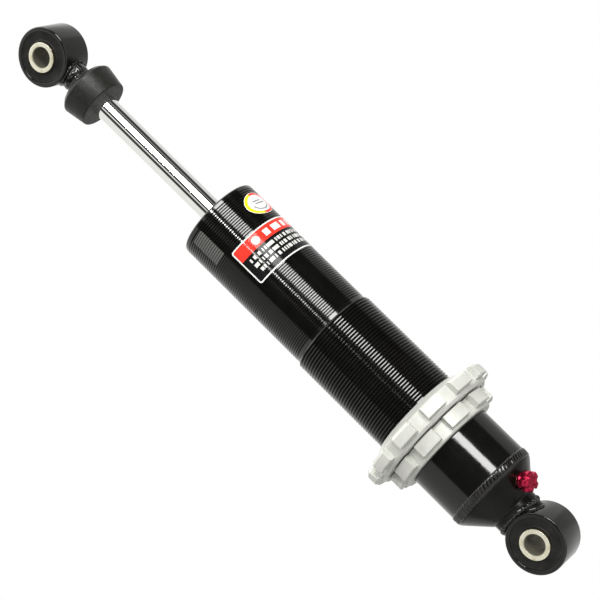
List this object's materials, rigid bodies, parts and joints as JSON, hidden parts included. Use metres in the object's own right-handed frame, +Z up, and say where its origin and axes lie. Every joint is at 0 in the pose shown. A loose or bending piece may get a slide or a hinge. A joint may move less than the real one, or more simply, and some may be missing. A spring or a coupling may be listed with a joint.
{
  "type": "rear shock",
  "caption": "Coil-over gas shock absorber without its spring: threaded body, two preload rings, chromed shaft, rubber bump stop and a bushed eye at each end.",
  "frame": {"origin": "centre of the lower (body end) eye bore", "axes": "+Z up the shock's axis to the upper eye, +Y along both eye bores, +X square to both; the gas valve is on the +X side"},
  "size_m": [0.0754, 0.0754, 0.3726],
  "materials": {
    "body_paint": "satin-gloss black coating over turned threads",
    "frame_paint": "gloss black paint",
    "bush_rubber": "matte black rubber",
    "stop_rubber": "dark grey satin rubber",
    "seal_rubber": "black nitrile",
    "zinc_plate": "yellow zinc plating, turned ends",
    "black_anodised": "black anodised",
    "bronze_bush": "bronze-lined bush",
    "spring_steel": "ground spring steel",
    "label_print": "glossy vinyl label, red band and black panel with a white border",
    "sticker_print": "glossy vinyl disc, white with a red and yellow rim",
    "patch_print": "grey striped film",
    "bare_aluminium": "machined",
    "ring_aluminium": "silver-grey anodised, bead blasted",
    "band_plastic": "filled wear band plastic",
    "shaft_chrome": "hard chrome, ground and polished",
    "valve_brass": "brass",
    "red_anodised": "bright crimson anodised"
  },
  "bodies": {
    "damper_body": {"body_tube": "body_paint", "girth_weld": "frame_paint", "end_cap": "frame_paint", "lower_eye_ring": "frame_paint", "lower_eye_bush": "bush_rubber", "lower_eye_sleeve": "zinc_plate", "seal_head": "black_anodised", "seal_head_oring": "seal_rubber", "rod_bush": "bronze_bush", "rod_seal": "seal_rubber", "rod_wiper": "seal_rubber", "retaining_ring": "spring_steel", "main_label": "label_print", "round_sticker": "sticker_print", "code_patch": "patch_print", "valve_body": "valve_brass"},
    "gas_piston": {"floating_piston": "bare_aluminium", "floating_piston_oring": "seal_rubber", "floating_piston_band": "band_plastic"},
    "stroke_carrier": {"piston_band": "band_plastic"},
    "shaft_assembly": {"shaft": "shaft_chrome", "bump_stop": "stop_rubber", "topout_bumper": "seal_rubber", "topout_spacer": "spring_steel", "rebound_washer": "spring_steel", "rebound_shims": "spring_steel", "piston": "bare_aluminium", "compression_shims": "spring_steel", "compression_washer": "spring_steel", "piston_nut": "spring_steel", "upper_eye_ring": "frame_paint", "upper_eye_bush": "bush_rubber", "upper_eye_sleeve": "zinc_plate"},
    "lock_carrier": {"lock_ring_oring": "seal_rubber"},
    "lock_ring": {"lock_ring": "ring_aluminium"},
    "collar_carrier": {"collar_oring": "seal_rubber"},
    "preload_collar": {"preload_collar": "ring_aluminium"},
    "valve_pin": {"valve_pin": "valve_brass"},
    "cap_carrier": {"valve_cap_oring": "seal_rubber"},
    "valve_cap": {"valve_cap": "red_anodised"}
  },
  "joints": [
    {"name": "shaft_stroke", "type": "slide", "parent": "damper_body", "child": "stroke_carrier", "axis": [0, 0, -1], "range_m": [0, 0.08], "stiffness_N_per_m": 1200, "springref_m": -0.125},
    {"name": "shaft_swivel", "type": "hinge", "parent": "stroke_carrier", "child": "shaft_assembly", "pos_m": [0, 0, 0.175], "axis": [0, 0, 1], "continuous": true},
    {"name": "gas_piston_travel", "type": "slide", "parent": "damper_body", "child": "gas_piston", "axis": [0, 0, -1], "range_m": [-0.0005, 0.0095]},
    {"name": "lock_ring_rise", "type": "slide", "parent": "damper_body", "child": "lock_carrier", "axis": [0, 0, 1], "range_m": [0, 0.0384]},
    {"name": "lock_ring_turn", "type": "hinge", "parent": "lock_carrier", "child": "lock_ring", "pos_m": [0, 0, 0.0647], "axis": [0, 0, 1], "range_deg": [-20, 8660]},
    {"name": "collar_rise", "type": "slide", "parent": "lock_ring", "child": "collar_carrier", "axis": [0, 0, 1], "range_m": [0, 0.016]},
    {"name": "collar_turn", "type": "hinge", "parent": "collar_carrier", "child": "preload_collar", "pos_m": [0, 0, 0.0764], "axis": [0, 0, 1], "range_deg": [-20, 3620]},
    {"name": "valve_pin_press", "type": "slide", "parent": "damper_body", "child": "valve_pin", "axis": [-0.7107, 0.2173, 0.6691], "range_m": [0, 0.001], "stiffness_N_per_m": 30, "springref_m": -0.001},
    {"name": "valve_cap_lift", "type": "slide", "parent": "damper_body", "child": "cap_carrier", "axis": [0.7107, -0.2173, -0.6691], "range_m": [0, 0.008]},
    {"name": "valve_cap_turn", "type": "hinge", "parent": "cap_carrier", "child": "valve_cap", "pos_m": [0.01677, -0.00513, 0.0248], "axis": [0.7107, -0.2173, -0.6691], "range_deg": [-20, 3620]}
  ],
  "couplings": [
    {"joint": "gas_piston_travel", "follows": "shaft_stroke", "ratio": 0.10821},
    {"joint": "lock_ring_turn", "follows": "lock_ring_rise", "rad_per_m": 3927},
    {"joint": "collar_turn", "follows": "collar_rise", "rad_per_m": 3927},
    {"joint": "valve_cap_turn", "follows": "valve_cap_lift", "rad_per_m": 7854}
  ]
}
